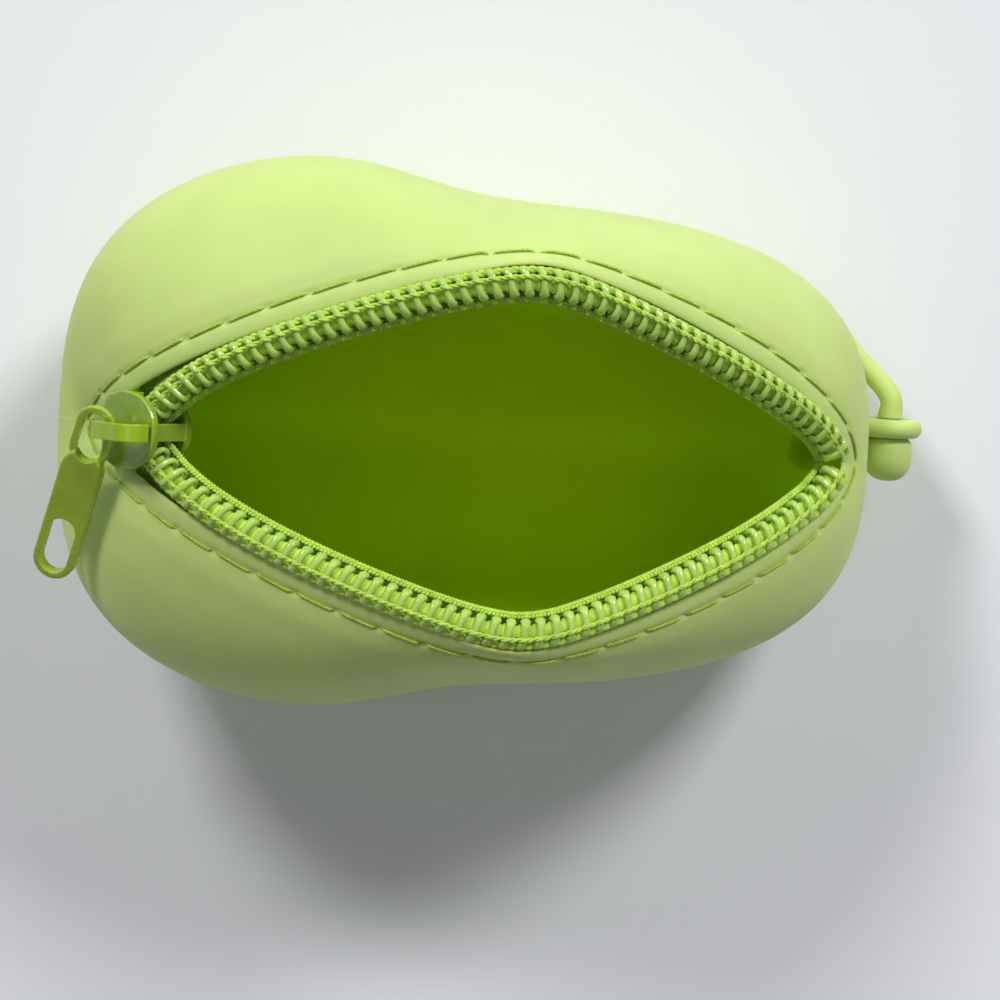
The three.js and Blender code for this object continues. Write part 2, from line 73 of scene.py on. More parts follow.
# The mouth
SLOT_LEFT = BODY_LEFT + 4.3
SLOT_RIGHT = BODY_RIGHT - 2.5
SLOT_APEX = BODY_SHIFT + 7
SLOT_OPENING = 42.8
SLOT_ROUNDING = 0.14
SLOT_POWER_LEFT = 0.61
SLOT_POWER_RIGHT = 0.555
SLOT_HEIGHT_LEFT = 29
SLOT_HEIGHT_RIGHT = 21
LIP_RISE = 0.84
LEFT_DIP = 6
LEFT_DIP_SPAN = 4
LIP_ARC = math.radians(65)
LIP_END_ROUND = 1.2
LIP_THICK = 0.8
LIP_REACH = 1.25
LIP_TAPER = 5

# The pouch's mesh: rows by distance below the lip, by level at the dimple, and counts of the rest
SHELL_COLUMNS = 331
SHELL_END_GRADING = 0.55
ROWS_BELOW_LIP = (*np.arange(0, 3.3, 0.2), *np.arange(3.4, 8.1, 0.6))
ROWS_AT_DIMPLE = np.linspace(0.19, 0.28, 15)
UPPER_ROWS = 18
UPPER_GRADING = 0.9
LOWER_ROWS = 20
LIP_ROWS = 9
BASE_ROWS = 6
LEVEL_STEPS = 160
SPLINE_STEPS = 40

# The sewn hem
STITCH_INSET = 1.0
STITCHES = 44
STITCH_GAP = 0.3
STITCH_STEPS = 20
SEAM_STEPS = 4001
STITCH_PROUD = 0.04
STITCH_DIP = 0.75
STITCH_DIP_POWER = 9
STITCH_SKEW = 0.10
THREAD = 0.33
PLY_RADIUS = THREAD * 0.36
PLY_OFFSET = THREAD * 0.16
PLY_TWIST = 1.1
GROOVE_DEPTH = 0.16
GROOVE_HALF = 0.38
HOLE_DEPTH = 0.25
HOLE_HALF = 0.3
HEM_SWELL = 0.1
HEM_SWELL_AT = 3.6
HEM_SWELL_HALF = 1.5

# The zip's line on each lip
COIL_OPENING = SLOT_OPENING - 5.6
COIL_MEETS_AT = 1.8
COIL_LEFT = SLOT_LEFT + 4
COIL_SPLIT = SLOT_LEFT + 8
COIL_RIGHT = SLOT_RIGHT - 2.5
COIL_POWER_LEFT = 0.62
COIL_POWER_RIGHT = 0.74
COIL_LIFT = 0.35
COIL_AFTER_SPLIT = (-2.6, -1.3, 2, 4.1, 7.1)
COIL_MIDDLE = np.arange(COIL_SPLIT + 11.6, COIL_RIGHT - 5, 4)
COIL_BEFORE_END = (-3.6, -1.6, 0)
COIL_TAIL = (0.62, 1.15, -0.75)
SLIDER_X = SLOT_LEFT + 6.3
SLIDER_STOP_X = 34.0
SLIDER_TILT = math.radians(44)
SLIDER_NOSE = 4.4
SLIDER_HALF = 5
SLIDER_FADE_START = 3
SLIDER_FADE_END = 2
FREE_AT_STOP = 0.4
COIL_END_SINK = 0.9
COIL_SINK_FROM = SLIDER_STOP_X - 3
COIL_SINK_SPAN = 4

# The nylon curls: half sizes of the legs, and what the head and the back add to them
CURLS = 56
CURL_STEPS = 36
CURL_SIDES = 12
COIL_LINE_STEPS = 2000
CURL_LEAN = 0.75
CURL_FLAT_ACROSS = 0.8
CURL_FLAT_UP = 0.7
CURL_BACK_REACH = 1.12
WIRE = 0.66
COIL_HALF_WIDTH = 1.25
COIL_HALF_HEIGHT = 0.9
LEG_WIDE, LEG_HIGH = 0.34, 0.29
HEAD_WIDER, HEAD_HIGHER, HEAD_SPAN = 0.23, 0.07, 0.95
BACK_WIDER, BACK_HIGHER, BACK_SPAN = 0.11, 0.07, 1.0

# The cord inside the coil
CORE_HALF_WIDTH = 0.6
CORE_HALF_HEIGHT = 0.2
CORE_WIDER_FREE = 0.32
CORE_HIGHER_FREE = 0.38
CORE_BRAID = 0.10
CORE_SIDES = 14

# The tape, and the braid along its edge
FIT_GAP = 0.3
TAPE_THICK = 0.6
TAPE_PAST_COIL = 2.0
TAPE_UNDER_LIP = 4
TAPE_ROWS = 601
TAPE_COLUMNS = 25
TAPE_EDGE_INSET = 0.3
TAPE_EDGE_LIFT = 0.6
TAPE_LOOPS = 0.10
TAPE_EDGE_FULLER = 0.35
TAPE_EDGE_SPAN = 0.05
TAPE_EDGE_POWER = 16
TAPE_EDGE_LEAST = 0.02
TAPE_WEAVE_WIDTH = 8
TAPE_BELOW = COIL_HALF_HEIGHT + WIRE / 2 + FIT_GAP + TAPE_THICK / 2
TAPE_BEHIND = WALL + 1.5 * FIT_GAP + TAPE_THICK / 2
TAPE_AT_COIL_BACK = COIL_HALF_WIDTH * 1.1
BRAID_PLIES = 3
BRAID_STEPS = 24
BRAID_TURNS = 1.25
BRAID_INSET = 0.16
BRAID_LIFT = 1.0
BRAID_SWAY, BRAID_HEAVE = 0.22, 0.16
BRAID_WIDE, BRAID_HIGH = 0.19, 0.15

# The sewing over the coil: each row's place across, drop below the top, dip between legs and half width
SEWING_ROWS = ((-0.60, 0.0, 0.34, 0.17), (-1.34, 0.80, 0.20, 0.24))
SEWING_STEPS = 20
SEWING_PHASE = 2.3
SEWING_CROSS = 0.06
SEWING_SWAY = 0.7
SEWING_FLAT = 0.75
SEWING_SUNK_AT_SLIDER = 0.3

# The lug and the hanging strap
LUG_X = BODY_RIGHT + 2.9
LUG_Y = 3.3
LUG_Z = 9
LUG_RADIUS = 3.7
LUG_THICK = 2.1
LUG_ROOT = 4.4
LUG_ROOT_REACH = LUG_RADIUS - 0.3
LUG_BLEND = 8
LUG_RIM = 0.95
LUG_LEAD = 0.3
LUG_STEPS = 96
BALL_RADIUS = 2.75
BALL_LENGTH = 4.9
BALL_TOP = math.radians(62)
BALL_SEAT = 0.12
BALL_TOP_POWERS = (5, 0.3)
BALL_END_POWER = 0.8
BALL_SIDES = 48
BALL_NECK_RADIUS = 1.1
BALL_NECK_FILLET = 0.15
BALL_NECK_FILLET_SPAN = 0.3
STRAP_RADIUS = 1.2
STRAP_CLEAR = 0.6
STRAP_START = 0.15
STRAP_STRAIGHT = 2.2
STRAP_ROOT = math.radians(46)
STRAP_ROOT_DEPTH = 0.9
STRAP_HIGH = 0.42
STRAP_LOW = 0.25
STRAP_FLARE_START, STRAP_FLARE_START_SPAN = 0.22, 0.05
STRAP_FLARE_ROOT, STRAP_FLARE_ROOT_SPAN = 0.35, 0.07
STRAP_STEPS = 160
STRAP_SIDES = 28

# The round dimple inside the neck's end
DIMPLE_RADIUS = 2
DIMPLE_DEPTH = 0.5
DIMPLE_EDGE = 0.12
DIMPLE_AT = 0.235

# The camera: nearly overhead, a little to the back, with the bag turned a few degrees in its frame
LOOK_AT = (2.58, -6.68, 18)
CAMERA_AWAY = 413
CAMERA_BACK = math.radians(5)
CAMERA_ROLL = math.radians(3.2)
CAMERA_LENS = 132.5
CAMERA_SENSOR = 36
CAMERA_CLIP = (0.01, 20)

# The studio: lamps by name, place in metres, size and watts
LAMPS = (
    ("key_right", (0.95, 1.36, 1.14), 0.5, 23.0),
    ("key_left", (-0.90, 1.40, 1.14), 0.5, 20.5),
    ("top", (0.0, -0.2, 1.40), 0.8, 1.2),
)
LAMPS_AIM = (0, 0, 0.02)
SKY = (0.97, 0.98, 1.0, 1)
SKY_STRENGTH = 0.14
FLOOR_HALF = 3.0
FLOOR_Z = -0.0002

# Linear colours
SILICONE = (0.60, 0.76, 0.23)
# The inside's copy of the silicone colour: more saturated, as painted glow of light passing through the
# walls.
SILICONE_INSIDE_GLOW = (0.58, 0.80, 0.003)
THREAD_LIME = (0.50, 0.70, 0.06)
SEWING_LIME = (0.60, 0.90, 0.10)
TAPE_LIME = (0.42, 0.66, 0.05)
NYLON = (0.58, 0.88, 0.19)
CORE_LIME = (0.56, 0.82, 0.09)
# One lime enamel in three shades: painted shade on the tab and the slider's body, painted light on the
# bail.
TAB_PAINT_SHADED = (0.32, 0.48, 0.03)
BODY_PAINT_SHADED = (0.25, 0.41, 0.02)
BAIL_PAINT_LIT = (0.35, 0.55, 0.01)
# Painted highlight: the lighter lime of the enamel's edges.
EDGE_HIGHLIGHT_PAINT = (0.52, 0.76, 0.05)
FLOOR = (0.94, 0.955, 1.0)

# Pattern sizes in the materials, in millimetres
TAPE_RIB = 0.42
TAPE_WEFT = 0.64
TAPE_WEFT_SHIFT = 0.16
PARTING_HALF = (0.05, 0.22)
SPLIT_FADE = (0.8, 4.0)
# The enamel's bevel radius, and how far its painted edge highlight goes.
EDGE_BEVEL_RADIUS = 0.24
EDGE_HIGHLIGHT_SHARE = 0.85
CRISP_EDGE = math.radians(35)


def power(value, p):
    return np.sign(value) * np.abs(value) ** p


def mix(a, b, k):
    return a + (b - a) * k


def bell(x, half):
    return np.exp(-((x / half) ** 2))


def unit(v):
    return v / np.maximum(np.linalg.norm(v, axis=-1, keepdims=True), 1e-12)


def stack(x, y, z):
    return np.stack(np.broadcast_arrays(x, y, z), axis=-1).astype(float)


def lengths_along(line):
    return np.concatenate([[0], np.linalg.norm(np.diff(line, axis=0), axis=1).cumsum()])


def lip_name(side):
    return "back" if side == BACK else "front"


def pear(along):
    """Half the body's width, from the lobe to the neck."""
    mean = (LOBE_WIDTH + NECK_WIDTH) / 4
    half = (LOBE_WIDTH - NECK_WIDTH) / 4
    return mean - half * np.tanh((along - LOBE_TO_NECK_AT) / LOBE_TO_NECK_SPAN)


def girth(t):
    along = power(np.cos(t), 2 / OUTLINE_POWER)
    across = power(np.sin(t), 2 / OUTLINE_POWER)
    height = mix(GIRTH_HEIGHT_LOBE, GIRTH_HEIGHT_NECK, (along + 1) / 2)
    return stack(BODY_SHIFT + BODY_LENGTH / 2 * along, pear(along) * across, height)


def base(t):
    along = power(np.cos(t), 2 / BASE_POWER)
    across = power(np.sin(t), 2 / BASE_POWER)
    half = BASE_WIDTH / LOBE_WIDTH * pear(along)
    return stack(BASE_SHIFT + BASE_LENGTH / 2 * along, half * across, 0.0)


def along_lip(x, left, right):
    """0 at the mouth's widest place and 1 at its ends, rounded at the middle."""
    reach = np.where(x < SLOT_APEX, SLOT_APEX - left, right - SLOT_APEX)
    u = np.minimum(1, np.abs(x - SLOT_APEX) / reach)
    r = SLOT_ROUNDING
    return (np.sqrt(u * u + r * r) - r) / (math.sqrt(1 + r * r) - r)


def slot_half(x):
    s = along_lip(x, SLOT_LEFT, SLOT_RIGHT)
    p = np.where(x < SLOT_APEX, SLOT_POWER_LEFT, SLOT_POWER_RIGHT)
    return SLOT_OPENING / 2 * np.maximum(0, 1 - s) ** p


def slot_height(x):
    share = (x - SLOT_LEFT) / (SLOT_RIGHT - SLOT_LEFT)
    level = mix(SLOT_HEIGHT_LEFT, SLOT_HEIGHT_RIGHT, share)
    dip = LEFT_DIP * np.exp(-(x - SLOT_LEFT) / LEFT_DIP_SPAN)
    return level + LIP_RISE * np.hypot(slot_half(x), LIP_END_ROUND) - dip


def mouth(t):
    x = mix(SLOT_LEFT, SLOT_RIGHT, (np.cos(t) + 1) / 2)
    return stack(x, np.sign(np.sin(t)) * slot_half(x), slot_height(x))


def skin(t, v):
    """The pouch's outer skin: the base's edge at v = 0, the girth at 0.5 and the lip at 1."""
    t, v = np.broadcast_arrays(np.asarray(t, float), np.asarray(v, float))
    wide, foot, lip = girth(t), base(t), mouth(t)
    a = v * math.pi
    low = mix(foot, wide, np.sin(a)[..., None])
    low[..., 2] = wide[..., 2] * (1 - np.cos(a))
    a = (2 * v - 1) * LIP_ARC
    inward = (1 - np.cos(a)) / (1 - math.cos(LIP_ARC))
    up = np.sin(a) / math.sin(LIP_ARC)
    high = mix(wide, lip, inward[..., None])
    high[..., 2] = mix(wide[..., 2], lip[..., 2], up)
    return np.where((v <= GIRTH_V)[..., None], low, high)


def up_skin(t, v):
    step = 1e-3
    return unit(skin(t, np.minimum(1, v + step)) - skin(t, np.maximum(0, v - step)))


def skin_normal(t, v):
    step = 2e-3
    across = skin(t + step, v) - skin(t - step, v)
    return unit(np.cross(across, up_skin(t, v)))


def off_skin(t, v, away):
    return skin(t, v) + skin_normal(t, v) * np.asarray(away)[..., None]


def levels_below_lip(t, distances):
    """The level v on the skin at each distance below the lip, for each t."""
    v = np.linspace(GIRTH_V, 1, LEVEL_STEPS)
    line = skin(t[:, None], v[None, :])
    run = np.linalg.norm(np.diff(line, axis=1), axis=2)[:, ::-1].cumsum(axis=1)
    run = np.concatenate([np.zeros((len(t), 1)), run], axis=1)
    return np.array([np.interp(distances, run[i], v[::-1]) for i in range(len(t))])


DIMPLE_CENTRE = off_skin(np.array(0.0), np.array(DIMPLE_AT), np.array(-WALL))


def faces_of_grid(rows, columns, around=False, closed=False):
    """Quads of a grid of points, joined up along its rows (around) and its columns (closed)."""
    index = np.arange(rows * columns).reshape(rows, columns)
    if around:
        index = np.concatenate([index, index[:, :1]], axis=1)
    if closed:
        index = np.concatenate([index, index[:1]])
    quads = np.stack([index[:-1, :-1], index[:-1, 1:], index[1:, 1:], index[1:, :-1]], axis=-1)
    return quads.reshape(-1, 4).tolist()


def faces_of_tube(rings, sides):
    first = list(range(sides))[::-1]
    last = [(rings - 1) * sides + j for j in range(sides)]
    return faces_of_grid(rings, sides, around=True) + [first, last]


def new_piece(name, points, faces, material, slot, **attributes):
    """A smooth mesh from points in millimetres, which keeps them as its texture coordinates."""
    points = np.asarray(points, float).reshape(-1, 3)
    mesh = bpy.data.meshes.new(name)
    mesh.from_pydata((points * MM).tolist(), [], faces)
    mesh.polygons.foreach_set("use_smooth", [True] * len(mesh.polygons))
    for key, values in {"rest": points, **attributes}.items():
        kept = mesh.attributes.new(key, "FLOAT_VECTOR", "POINT")
        kept.data.foreach_set("vector", np.asarray(values, np.float32).ravel())
    mesh.update()
    obj = bpy.data.objects.new(name, mesh)
    bpy.context.scene.collection.objects.link(obj)
    mesh.materials.append(material)
    return obj


class Solid:
    """Points and faces gathered from several tubes, with their coordinates along and round."""

    def __init__(self):
        self.points = []
        self.faces = []
        self.runs = []
        self.count = 0

    def sweep(self, line, side, up, wide, high, sides=8):
        """A tube of oval section along a line, with an axis pair and two half sizes at each point."""
        n = len(line)
        a = np.linspace(0, TURN, sides, endpoint=False)
        wide = np.broadcast_to(wide, n)[:, None, None]
        high = np.broadcast_to(high, n)[:, None, None]
        ring = side[:, None] * wide * np.cos(a)[None, :, None]
        ring = ring + up[:, None] * high * np.sin(a)[None, :, None]
        self.points.append((line[:, None] + ring).reshape(-1, 3))
        self.runs.append(stack(lengths_along(line)[:, None], a[None, :], 0.0).reshape(-1, 3))
        self.faces += [[i + self.count for i in face] for face in faces_of_tube(n, sides)]
        self.count += n * sides

    def piece(self, name, material, slot):
        points = np.concatenate(self.points)
        return new_piece(name, points, self.faces, material, slot, run=np.concatenate(self.runs))


def even_steps(line, count):
    run = lengths_along(line)
    want = np.linspace(0, run[-1], count)
    return np.stack([np.interp(want, run, line[:, i]) for i in range(3)], axis=1)


def smooth_line(points, count):
    """A smooth spline through points, with even steps along its length."""
    p = np.asarray(points, float)
    p = np.concatenate([[2 * p[0] - p[1]], p, [2 * p[-1] - p[-2]]])
    k = np.linspace(0, 1, SPLINE_STEPS, endpoint=False)[:, None]
    parts = []
    for a, b, c, d in zip(p, p[1:], p[2:], p[3:]):
        t0, t1, t2 = (max(1e-4, math.sqrt(np.linalg.norm(q))) for q in (b - a, c - b, d - c))
        m1 = ((b - a) / t0 - (c - a) / (t0 + t1) + (c - b) / t1) * t1
        m2 = ((c - b) / t1 - (d - b) / (t1 + t2) + (d - c) / t2) * t1
        parts.append(
            (2 * k**3 - 3 * k**2 + 1) * b + (k**3 - 2 * k**2 + k) * m1
            + (3 * k**2 - 2 * k**3) * c + (k**3 - k**2) * m2
        )
    return even_steps(np.concatenate([*parts, p[-2:-1]]), count)


def axes_along(line, hint):
    """The unit vectors ahead, across (nearest to the hint) and up at each point of a line."""
    ahead = unit(np.gradient(line, axis=0))
    across = unit(hint - ahead * (hint * ahead).sum(axis=1, keepdims=True))
    return ahead, across, np.cross(ahead, across)


def add_node(tree, kind, inputs=None, **settings):
    made = tree.nodes.new(kind)
    for key, value in settings.items():
        setattr(made, key, value)
    for key, value in (inputs or {}).items():
        if isinstance(value, bpy.types.NodeSocket):
            tree.links.new(value, made.inputs[key])
        else:
            made.inputs[key].default_value = value
    return made


class Finish:
    """A Principled material with helpers for the patterns that feed it."""

    def __init__(self, name, **sockets):
        self.material = bpy.data.materials.new(name)
        self.material.use_nodes = True
        self.tree = self.material.node_tree
        self.shader = self.tree.nodes["Principled BSDF"]
        for key, value in sockets.items():
            self.shader.inputs[key.replace("_", " ")].default_value = value

    def node(self, kind, inputs=None, **settings):
        return add_node(self.tree, kind, inputs, **settings)

    def attribute(self, name):
        return self.node("ShaderNodeAttribute", attribute_name=name).outputs["Vector"]

    def parts(self, vector):
        return self.node("ShaderNodeSeparateXYZ", {0: vector}).outputs

    def object_place(self):
        """The place on a rigid piece in millimetres."""
        place = self.node("ShaderNodeTexCoord").outputs["Object"]
        scaled = self.node("ShaderNodeVectorMath", {0: place, "Scale": 1 / MM}, operation="SCALE")
        return scaled.outputs[0]

    def noise(self, where, scale, detail=2, roughness=0.5):
        """Noise whose scale is in cells to the millimetre."""
        sockets = {"Vector": where, "Scale": scale, "Detail": detail, "Roughness": roughness}
        return self.node("ShaderNodeTexNoise", sockets).outputs["Fac"]

    def ramp(self, value, low, high, start, end):
        sockets = {"Value": value, "From Min": low, "From Max": high, "To Min": start, "To Max": end}
        return self.node("ShaderNodeMapRange", sockets).outputs["Result"]

    def spread(self, noise, start=0, end=1):
        """The middle of a noise's range, spread from start to end."""
        return self.ramp(noise, 0.3, 0.7, start, end)

    def math(self, operation, a, b=0.0):
        return self.node("ShaderNodeMath", {0: a, 1: b}, operation=operation).outputs[0]

    def colour(self, fac, a, b):
        """Colour a where fac is 0, and b where it is 1."""
        made = self.node("ShaderNodeMix", {0: fac}, data_type="RGBA", blend_type="MIX")
        for index, value in ((6, a), (7, b)):
            if isinstance(value, bpy.types.NodeSocket):
                self.tree.links.new(value, made.inputs[index])
            else:
                made.inputs[index].default_value = (*value, 1)
        return made.outputs[2]

    def clouded(self, colour, noise, spread):
        """A colour that a noise makes darker and lighter by shares of itself."""
        return self.colour(self.spread(noise), shade(colour, spread[0]), shade(colour, spread[1]))

    def bump(self, height, distance, strength=1.0, over=None):
        sockets = {"Height": height, "Distance": distance * MM, "Strength": strength}
        if over is not None:
            sockets["Normal"] = over
        return self.node("ShaderNodeBump", sockets).outputs["Normal"]

    def feed(self, **sockets):
        for key, value in sockets.items():
            self.tree.links.new(value, self.shader.inputs[key.replace("_", " ")])
        return self.material


def shade(colour, factor):
    return tuple(c * factor for c in colour)


def silicone_finish(name, colour, shine, translucent, depth, mark=None):
    """Matte moulded silicone: a fine grain, faint clouding, rare specks, and a parting line, or a dimple
    with painted shade round it.
    """
    f = Finish(
        name,
        Subsurface_Radius=(1.0, 1.1, 0.25), Subsurface_Scale=depth * MM, Subsurface_Weight=translucent,
        Specular_IOR_Level=shine, Sheen_Weight=shine / 3, Sheen_Roughness=0.5,
    )
    rest = f.attribute("rest")
    body = f.clouded(colour, f.noise(rest, 0.09, 3), (0.96, 1.04))
    speck = f.ramp(f.noise(rest, 1.7, 1), 0.74, 0.80, 0, 0.10)
    body = f.colour(speck, body, shade(colour, 0.55))
    grain = f.noise(rest, 7, 3, 0.6)
    rough = f.spread(grain, 0.50, 0.60)
    normal = f.bump(grain, 0.02, 0.5)
    off_split = f.math("ABSOLUTE", f.parts(rest)["Y"])
    if mark == "parting":
        normal = f.bump(f.ramp(off_split, *PARTING_HALF, 1, 0), 0.02, 1, normal)
    if mark == "dimple":
        # Painted shade: the inside is darkened round the dimple, where shade in a hollow would fall.
        ends = {0: rest, 1: tuple(DIMPLE_CENTRE)}
        away = f.node("ShaderNodeVectorMath", ends, operation="DISTANCE").outputs["Value"]
        painted_dimple_shade = f.ramp(away, DIMPLE_RADIUS * 1.25, DIMPLE_RADIUS * 0.55, 0, 0.6)
        body = f.colour(painted_dimple_shade, body, shade(colour, 0.35))
    if mark:
        f.feed(Subsurface_Weight=f.ramp(off_split, *SPLIT_FADE, 0, translucent))
    return f.feed(Base_Color=body, Roughness=rough, Normal=normal)


def thread_finish(name, colour, turns, translucent=0):
    """Spun thread: a twist across its run, and lighter and darker fibres."""
    f = Finish(
        name, Roughness=0.62, Specular_IOR_Level=0.35, Sheen_Weight=0.25, Sheen_Roughness=0.4,
        Subsurface_Weight=translucent, Subsurface_Radius=(0.9, 1.0, 0.3), Subsurface_Scale=0.8 * MM,
    )
    run = f.parts(f.attribute("run"))
    twist = f.math("ADD", f.math("MULTIPLY", run["X"], turns * TURN), run["Y"])
    fibre = f.ramp(f.math("SINE", f.math("MULTIPLY", twist, 3.0)), -1, 1, 0, 1)
    colours = f.clouded(colour, f.noise(f.attribute("rest"), 1.1, 3), (0.82, 1.15))
    colours = f.colour(f.math("MULTIPLY", fibre, 0.2), colours, shade(colour, 0.6))
    return f.feed(Base_Color=colours, Normal=f.bump(fibre, 0.05, 0.8))


def tape_finish():
    """Woven polyester tape: ribs along its length crossed by a fine weft."""
    f = Finish("zip_tape", Roughness=0.78, Specular_IOR_Level=0.3, Sheen_Weight=0.3, Sheen_Roughness=0.4)
    run = f.parts(f.attribute("run"))
    rib = f.math("SINE", f.math("MULTIPLY", run["Y"], TURN / TAPE_RIB))
    shift = f.math("MULTIPLY", f.math("SIGN", rib), TAPE_WEFT_SHIFT)
    weft = f.math("SINE", f.math("MULTIPLY", f.math("ADD", run["X"], shift), TURN / TAPE_WEFT))
    weave = f.math("MULTIPLY", f.math("ABSOLUTE", rib), f.ramp(weft, -1, 1, 0.35, 1))
    colours = f.clouded(TAPE_LIME, f.noise(f.attribute("rest"), 0.8, 3), (0.8, 1.2))
    colours = f.colour(f.ramp(weave, 0, 1, 0.5, 0), colours, shade(TAPE_LIME, 0.3))
    return f.feed(Base_Color=colours, Normal=f.bump(weave, 0.10, 0.9))


def nylon_finish():
    """Drawn nylon: clear at its edges, milky within, with faint draw lines."""
    f = Finish(
        "zip_nylon", Specular_IOR_Level=0.7, Transmission_Weight=0.15, IOR=1.53,
        Subsurface_Weight=0.7, Subsurface_Radius=(0.9, 1.0, 0.4), Subsurface_Scale=1.0 * MM,
    )
    run = f.attribute("run")
    colours = f.clouded(NYLON, f.noise(f.attribute("rest"), 0.6, 2), (0.85, 1.1))
    rough = f.spread(f.noise(run, 2.0, 2), 0.08, 0.18)
    draw_lines = f.math("SINE", f.math("MULTIPLY", f.parts(run)["Y"], 9.0))
    return f.feed(Base_Color=colours, Roughness=rough, Normal=f.bump(draw_lines, 0.008, 0.5))


def paint_finish(name, paint):
    """Lime stove enamel over a zinc casting: a slight orange peel, dust specks, and a painted highlight of
    lighter paint along the edges.
    """
    f = Finish(name, Specular_IOR_Level=0.6, Coat_Weight=0.6, Coat_Roughness=0.12)
    place = f.object_place()
    colours = f.clouded(paint, f.noise(place, 0.35, 3), (0.92, 1.08))
    speck = f.ramp(f.noise(place, 4.5, 1), 0.70, 0.76, 0, 0.35)
    colours = f.colour(speck, colours, shade(paint, 1.7))
    rounded = f.node("ShaderNodeBevel", {"Radius": EDGE_BEVEL_RADIUS * MM}, samples=6).outputs["Normal"]
    flat = f.node("ShaderNodeNewGeometry").outputs["Normal"]
    turned = f.node("ShaderNodeVectorMath", {0: rounded, 1: flat}, operation="DOT_PRODUCT")
    # Painted highlight: the paint turns lighter lime along the rounded edges, where light catches them.
    edge = f.ramp(turned.outputs["Value"], 0.995, 0.90, 0, EDGE_HIGHLIGHT_SHARE)
    colours = f.colour(edge, colours, EDGE_HIGHLIGHT_PAINT)
    peel = f.noise(place, 2.2, 2)
    rough = f.spread(f.noise(place, 1.2, 3), 0.20, 0.34)
    return f.feed(Base_Color=colours, Roughness=rough, Normal=f.bump(peel, 0.015, 0.4, rounded))


def floor_finish():
    """A pale matte floor, which lights the bag a little less than it shows."""
    f = Finish("studio_floor", Roughness=0.9, Specular_IOR_Level=0.1)
    seen = f.clouded(FLOOR, f.noise(f.object_place(), 0.02, 2), (0.99, 1))
    camera_ray = f.node("ShaderNodeLightPath").outputs["Is Camera Ray"]
    return f.feed(Base_Color=f.colour(camera_ray, shade(FLOOR, 0.85), seen))


silicone = silicone_finish("silicone", SILICONE, 0.35, 0.25, 1.2, "parting")
# The inside's finish: its colour is painted glow of light through the walls, and it paints shade round the
# dimple.
silicone_inside_glow = silicone_finish("silicone_inside_glow", SILICONE_INSIDE_GLOW, 0.05, 0.9, 3.0, "dimple")
silicone_strap = silicone_finish("silicone_strap", SILICONE, 0.35, 0.35, 1.2)
seam_lime = thread_finish("seam_thread", THREAD_LIME, 0.9)
sewing_lime = thread_finish("coil_thread", SEWING_LIME, 1.6, 0.15)
core_lime = thread_finish("core_cord", CORE_LIME, 0.6)
tape_lime = tape_finish()
nylon = nylon_finish()


def follow_lip(obj):
    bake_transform(obj)
    return obj


def stitch_line(count):
    """The stitch line round the mouth: its t, its level and its length so far."""
    t = np.linspace(0, TURN, count)
    v = levels_below_lip(t, [STITCH_INSET])[:, 0]
    return t, v, lengths_along(skin(t, v))


SEAM_T, SEAM_V, SEAM_RUN = stitch_line(SEAM_STEPS)
STITCH_PITCH = SEAM_RUN[-1] / STITCHES


def graded_half_turn(count):
    """From 0 to half a turn, with finer steps at both ends."""
    s = np.linspace(0, 1, count)
    return math.pi * (s - SHELL_END_GRADING * np.sin(TURN * s) / TURN)


def shell_levels(t):
    """The levels of the shell's rows, finer at the dimple and near the lip."""
    near_levels = levels_below_lip(t, ROWS_BELOW_LIP)[:, ::-1].T
    share = np.linspace(0, 1, UPPER_ROWS, endpoint=False) ** UPPER_GRADING
    far_levels = mix(GIRTH_V, near_levels[0][None], share[:, None])
    low = np.linspace(0, GIRTH_V, LOWER_ROWS, endpoint=False)
    low = np.unique(np.concatenate([low, ROWS_AT_DIMPLE]))
    low_levels = np.repeat(low[:, None], len(t), axis=1)
    return np.concatenate([low_levels, far_levels, near_levels])


def sewn_skin(t, v, below):
    """The outer skin, swollen below the hem, with the stitch groove and its needle holes."""
    along = np.interp(np.abs(t), SEAM_T, SEAM_RUN)
    to_hole = np.abs((along / STITCH_PITCH + 0.5) % 1 - 0.5) * STITCH_PITCH
    depth = GROOVE_DEPTH + HOLE_DEPTH * bell(to_hole, HOLE_HALF)
    groove = depth * bell(below - STITCH_INSET, GROOVE_HALF)
    swell = HEM_SWELL * bell(below - HEM_SWELL_AT, HEM_SWELL_HALF)
    return off_skin(t, v, (swell - groove) * (v > GIRTH_V))


def inner_skin(t, v, below):
    """The inner skin, nearer to the outer one at the lip, with the round dimple."""
    full = np.where(v > GIRTH_V, np.clip(below / LIP_TAPER, 0, 1), 1)
    wall = mix(LIP_THICK, WALL, full * full * (3 - 2 * full))
    away = np.linalg.norm(off_skin(t, v, -wall) - DIMPLE_CENTRE, axis=2)
    sunk = DIMPLE_DEPTH / (1 + np.exp((away - DIMPLE_RADIUS) / DIMPLE_EDGE))
    return off_skin(t, v, sunk - wall)


def rounded_lip(t):
    """The rows over the lip's edge, from the outer skin to the inner one."""
    top = np.ones(len(t))
    past = up_skin(t, top)
    rows = []
    for a in np.linspace(0, math.pi, LIP_ROWS + 2)[1:-1]:
        inward = off_skin(t, top, top * LIP_THICK / 2 * (math.cos(a) - 1))
        rows.append(inward + past * LIP_REACH * math.sin(a))
    return rows


def base_rows(edge, height):
    middle = np.array([BASE_SHIFT, 0, height])
    return [mix(middle, edge, k) for k in np.linspace(0, 1, BASE_ROWS, endpoint=False)]


